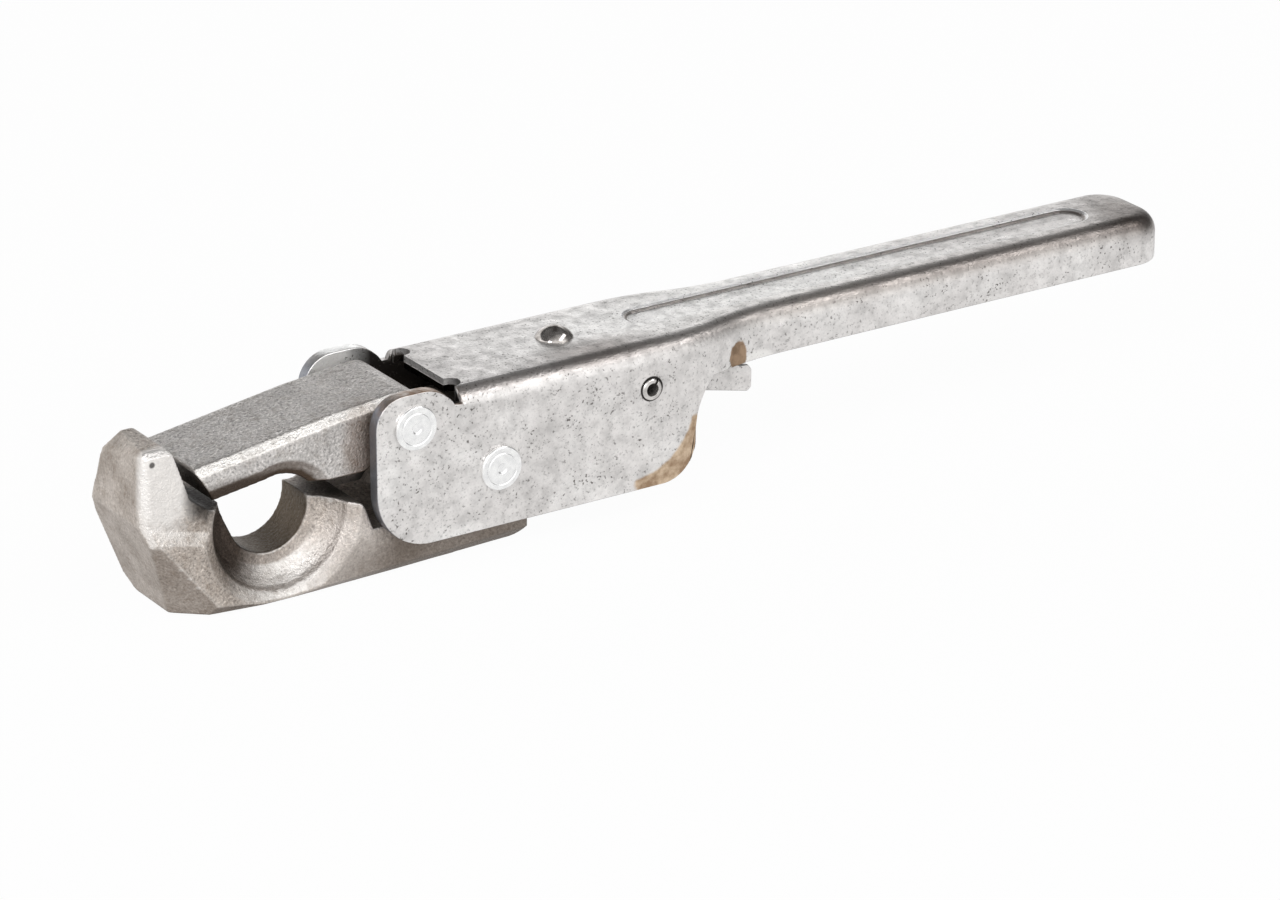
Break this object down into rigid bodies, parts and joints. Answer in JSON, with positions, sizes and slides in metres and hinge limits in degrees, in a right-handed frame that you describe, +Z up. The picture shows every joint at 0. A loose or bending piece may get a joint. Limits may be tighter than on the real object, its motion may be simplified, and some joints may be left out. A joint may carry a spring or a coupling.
{
  "type": "tailgate latch",
  "caption": "Over-centre style tailgate latch: a weld-on forged hook with a round pin seat, a pivoting upper jaw, a folded sheet lever handle and a sprung safety catch.",
  "frame": {"origin": "centre of the round pin seat, on the seat's axis and on the latch's middle plane", "axes": "+X runs back along the lever to the grip's rounded end, +Y runs along the seated pin to the latch's far side, +Z is up, away from the flat underside that is welded down"},
  "size_m": [0.27, 0.035, 0.0426],
  "materials": {
    "forged_steel": "raw drop-forged, fine grained, warm grey with bright worn edges",
    "jaw_steel": "forged sides with a smooth grey top and bright ground bevels",
    "zinc_sheet": "dull tumbled light grey sheet with dark speckle",
    "rivet_zinc": "bright zinc plated",
    "catch_zinc": "dull zinc plated sheet",
    "pin_steel": "dark spring steel tube",
    "spring_steel": "blue-grey spring steel strip",
    "dark_rivet": "dark glossy oiled steel"
  },
  "bodies": {
    "hook": {"hook_body": "forged_steel"},
    "handle": {"lever_handle": "zinc_sheet", "jaw_pivot_rivet": "rivet_zinc", "hook_pivot_rivet": "rivet_zinc", "catch_pivot_pin": "pin_steel", "catch_spring": "spring_steel", "spring_rivet": "dark_rivet"},
    "jaw": {"upper_jaw": "jaw_steel"},
    "catch": {"catch_lever": "catch_zinc"}
  },
  "joints": [
    {"name": "lever_swing", "type": "hinge", "parent": "hook", "child": "handle", "pos_m": [0.0511, 0, 0.0021], "axis": [0, -1, 0], "range_deg": [0, 33]},
    {"name": "jaw_lift", "type": "hinge", "parent": "handle", "child": "jaw", "pos_m": [0.03, 0, 0.016], "axis": [0, -1, 0], "range_deg": [-86, 0]},
    {"name": "catch_press", "type": "hinge", "parent": "handle", "child": "catch", "pos_m": [0.0901, 0, 0.0115], "axis": [0, -1, 0], "range_deg": [0, 12], "stiffness_Nm_per_rad": 0.3, "springref_deg": -17.19, "deforming": ["catch_spring"]}
  ],
  "couplings": [
    {"joint": "jaw_lift", "follows": "lever_swing", "ratio": -2.6}
  ]
}
